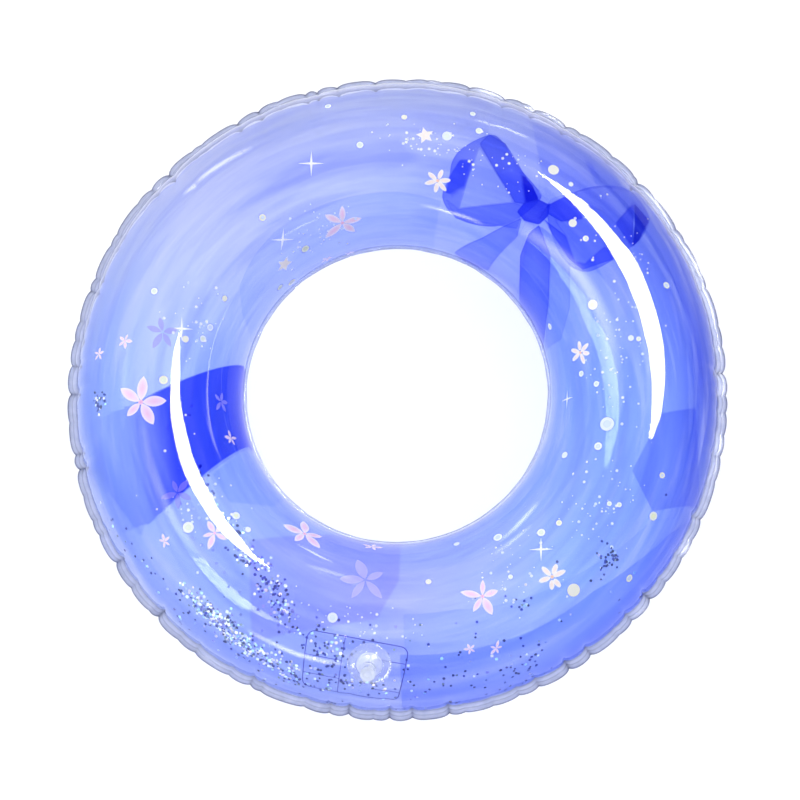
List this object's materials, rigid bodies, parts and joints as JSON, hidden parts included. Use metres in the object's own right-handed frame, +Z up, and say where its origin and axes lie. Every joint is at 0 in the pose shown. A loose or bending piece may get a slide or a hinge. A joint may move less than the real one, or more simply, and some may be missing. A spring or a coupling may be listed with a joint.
{
  "type": "inflatable swim ring",
  "caption": "Round inflatable swim ring of two welded film sheets with a push-in air valve, a tethered stopper and loose foil flakes inside.",
  "frame": {"origin": "under the middle of the ring, on the surface it lies on", "axes": "+Z up along the ring's axis, +X to the right and +Y to the top of the printed pattern; the air valve is near -Y"},
  "size_m": [0.6626, 0.6626, 0.1771],
  "materials": {
    "printed_film": "gloss",
    "clear_film": "gloss",
    "frosted_pvc": "satin",
    "foil": "mirror foil"
  },
  "bodies": {
    "ring": {"upper_skin": "printed_film", "lower_skin": "printed_film", "outer_weld_seam": "clear_film", "inner_weld_seam": "clear_film", "valve_flange": "clear_film", "valve_bellows": "frosted_pvc", "sequin_01": "foil", "sequin_02": "foil", "sequin_03": "foil", "sequin_04": "foil", "sequin_05": "foil", "sequin_06": "foil", "sequin_07": "foil", "sequin_08": "foil", "sequin_09": "foil", "sequin_10": "foil", "sequin_11": "foil", "sequin_12": "foil", "sequin_13": "foil", "sequin_14": "foil", "sequin_15": "foil", "sequin_16": "foil", "sequin_17": "foil", "sequin_18": "foil", "sequin_19": "foil", "sequin_20": "foil", "sequin_21": "foil", "sequin_22": "foil", "sequin_23": "foil", "sequin_24": "foil"},
    "stem": {"valve_stem": "frosted_pvc", "cap_tether": "frosted_pvc"},
    "cap": {"valve_cap": "frosted_pvc"},
    "flap": {"valve_check_flap": "frosted_pvc"}
  },
  "joints": [
    {"name": "stem_push", "type": "slide", "parent": "ring", "child": "stem", "axis": [0.0506, 0.5785, -0.8141], "range_m": [0, 0.017], "deforming": ["valve_bellows"]},
    {"name": "cap_flip", "type": "hinge", "parent": "stem", "child": "cap", "pos_m": [-0.02976, -0.3048, 0.16498], "axis": [0.9119, -0.3593, -0.1986], "range_deg": [0, 150], "deforming": ["cap_tether"]},
    {"name": "flap_swing", "type": "hinge", "parent": "stem", "child": "flap", "pos_m": [-0.0248, -0.28342, 0.15752], "axis": [0.9962, -0.0872, 0], "range_deg": [0, 55], "stiffness_Nm_per_rad": 0.0001}
  ]
}
